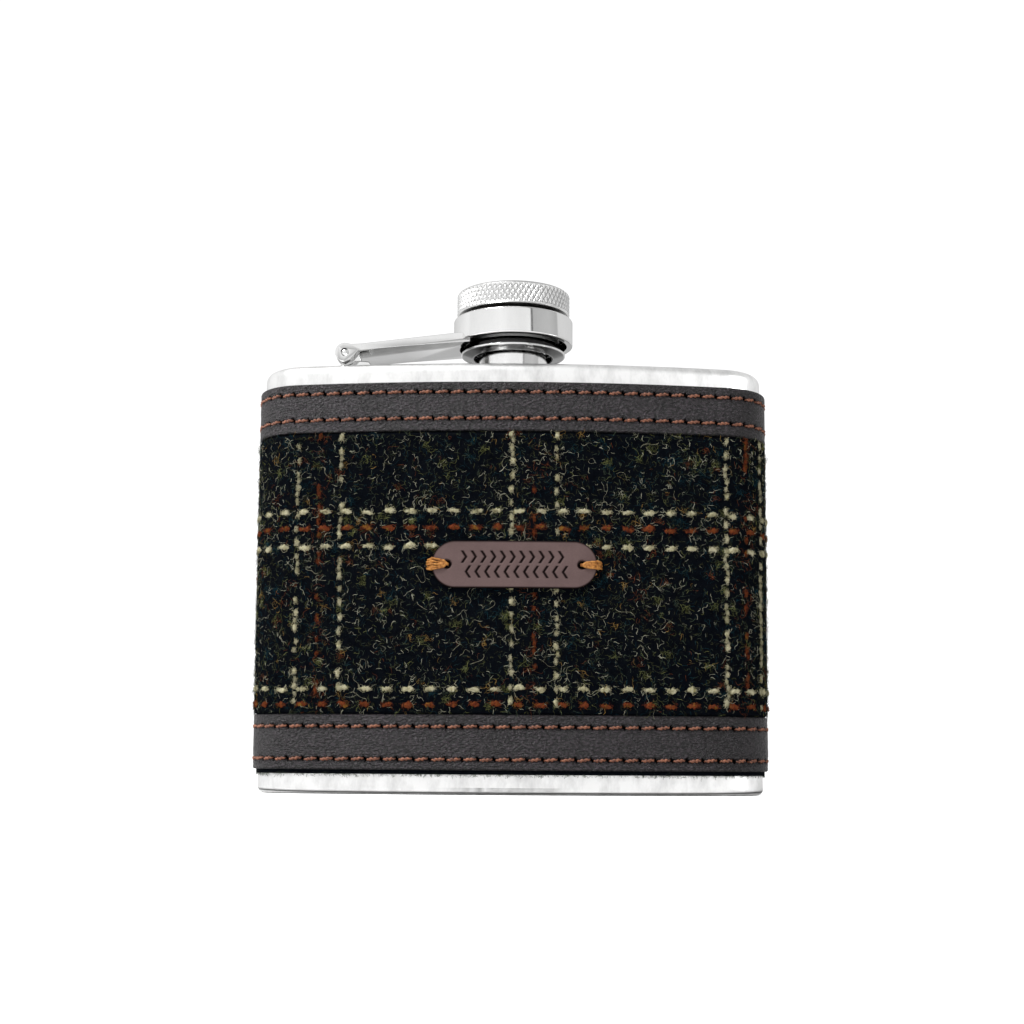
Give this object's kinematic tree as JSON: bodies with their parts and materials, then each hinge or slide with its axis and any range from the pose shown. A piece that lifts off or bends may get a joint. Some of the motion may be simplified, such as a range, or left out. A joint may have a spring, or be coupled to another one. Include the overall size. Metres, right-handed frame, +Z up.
{
  "type": "hip flask",
  "caption": "Curved steel hip flask wrapped in tweed with stitched leather bands and a small leather tag, with a knurled screw cap held by a hinged arm.",
  "frame": {"origin": "middle of the flat face the flask stands on, straight below the centre of the neck", "axes": "+X to the viewer's right across the width, away from the cap's hinge; -Y towards the bulging front with the tag; +Z up through the neck"},
  "size_m": [0.0946, 0.0252, 0.092],
  "materials": {
    "flask_steel": "softly brushed stainless steel, almost satin",
    "bright_steel": "mirror polished stainless steel",
    "cap_steel": "pale knurled stainless steel with bright edges",
    "tweed": "hairy dark navy and olive wool tweed with a white and rust window check",
    "band_leather": "dark brown fine-grained leather with a soft sheen",
    "tag_leather": "smooth mauve-brown leather, matt",
    "band_thread": "waxed rust-brown twisted thread",
    "tag_thread": "tan-orange twisted thread",
    "seal": "off-white soft plastic liner"
  },
  "bodies": {
    "flask": {"flask_wall": "flask_steel", "top_plate": "flask_steel", "base_plate": "flask_steel", "neck": "bright_steel", "hinge_bracket": "bright_steel", "hinge_pin": "bright_steel", "tweed_wrap": "tweed", "leather_band_top": "band_leather", "leather_band_bottom": "band_leather", "stitch_row_top_upper": "band_thread", "stitch_row_top_lower": "band_thread", "stitch_row_bottom_upper": "band_thread", "stitch_row_bottom_lower": "band_thread", "leather_tag": "tag_leather", "tag_thread_left": "tag_thread", "tag_thread_right": "tag_thread"},
    "arm": {"collar_arm": "bright_steel"},
    "seal": {"cap_seal": "seal"},
    "cap": {"knurled_cap": "cap_steel", "cap_flange": "bright_steel"}
  },
  "joints": [
    {"name": "arm_swing", "type": "hinge", "parent": "flask", "child": "arm", "pos_m": [-0.0306, 0, 0.07965], "axis": [0, -1, 0], "range_deg": [0, 172]},
    {"name": "cap_lift", "type": "slide", "parent": "arm", "child": "seal", "axis": [0, 0, 1], "range_m": [0, 0.0036]},
    {"name": "cap_turn", "type": "hinge", "parent": "seal", "child": "cap", "pos_m": [0, 0, 0.0875], "axis": [0, 0, 1], "range_deg": [0, 720]}
  ],
  "couplings": [
    {"joint": "cap_lift", "follows": "cap_turn", "m_per_rad": 0.00028648}
  ]
}
